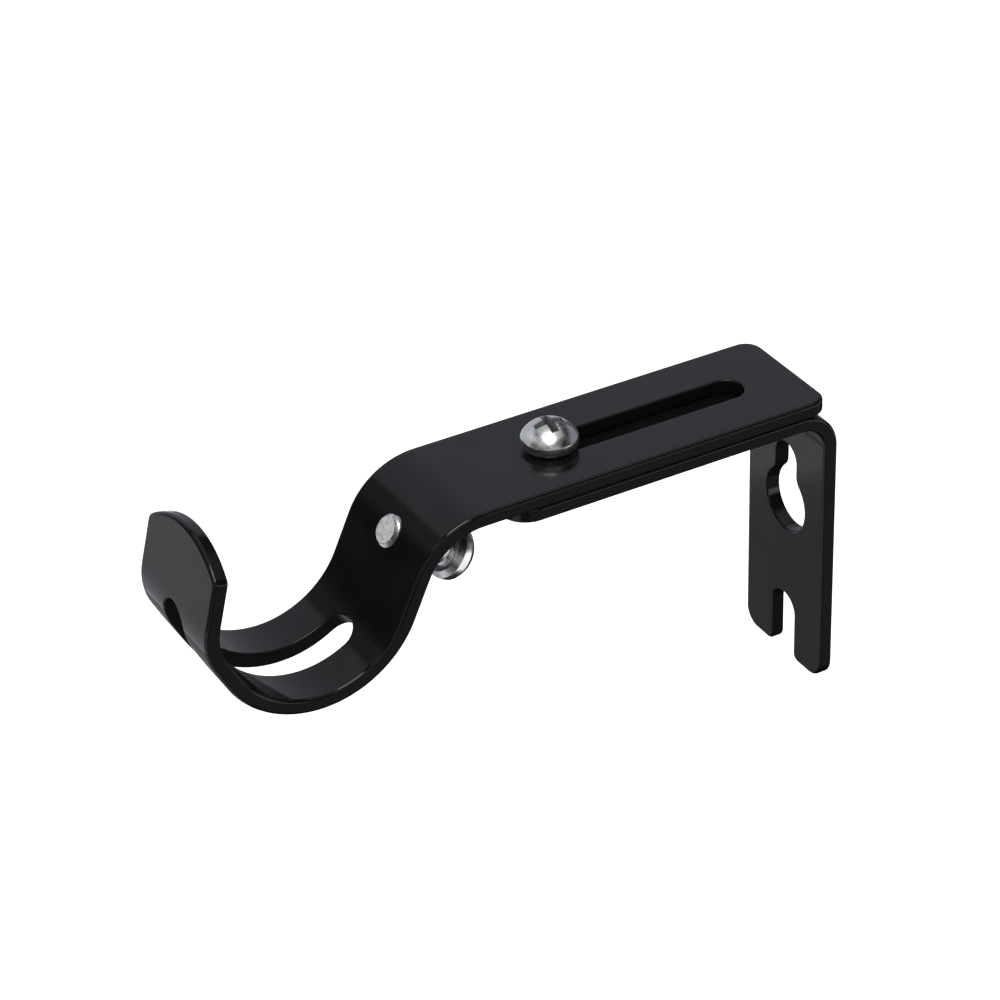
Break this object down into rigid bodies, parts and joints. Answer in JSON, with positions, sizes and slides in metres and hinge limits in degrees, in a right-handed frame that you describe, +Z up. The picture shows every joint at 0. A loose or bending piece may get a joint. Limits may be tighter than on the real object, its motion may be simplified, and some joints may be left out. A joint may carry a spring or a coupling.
{
  "type": "curtain pole bracket",
  "caption": "Adjustable curtain pole bracket in painted strip steel: a hooked arm slides on an angled wall bracket under a clamp screw, and another screw holds the pole in the cradle.",
  "frame": {"origin": "centre of the keyhole's round hole, in the plane of the wall, which is the wall plate's back face", "axes": "+Z up, +Y into the wall with the arm reaching out along -Y, +X along the pole"},
  "size_m": [0.021, 0.1038, 0.0571],
  "materials": {
    "bracket_paint": "satin black paint",
    "arm_paint": "satin black paint",
    "screw_plating": "bright plated"
  },
  "bodies": {
    "wall_bracket": {"wall_bracket": "bracket_paint"},
    "hook_arm": {"hook_arm": "arm_paint"},
    "projection_screw": {"projection_screw": "screw_plating"},
    "pole_screw": {"pole_screw": "screw_plating"}
  },
  "joints": [
    {"name": "arm_slide", "type": "slide", "parent": "wall_bracket", "child": "hook_arm", "axis": [0, -1, 0], "range_m": [0, 0.03]},
    {"name": "projection_screw_turn", "type": "hinge", "parent": "wall_bracket", "child": "projection_screw", "pos_m": [0, -0.04335, 0.0229], "axis": [0, 0, 1], "range_deg": [0, 360]},
    {"name": "pole_screw_advance", "type": "slide", "parent": "hook_arm", "child": "pole_screw", "axis": [0, -0.8171, 0.5764], "range_m": [-0.002, 0.007]}
  ]
}
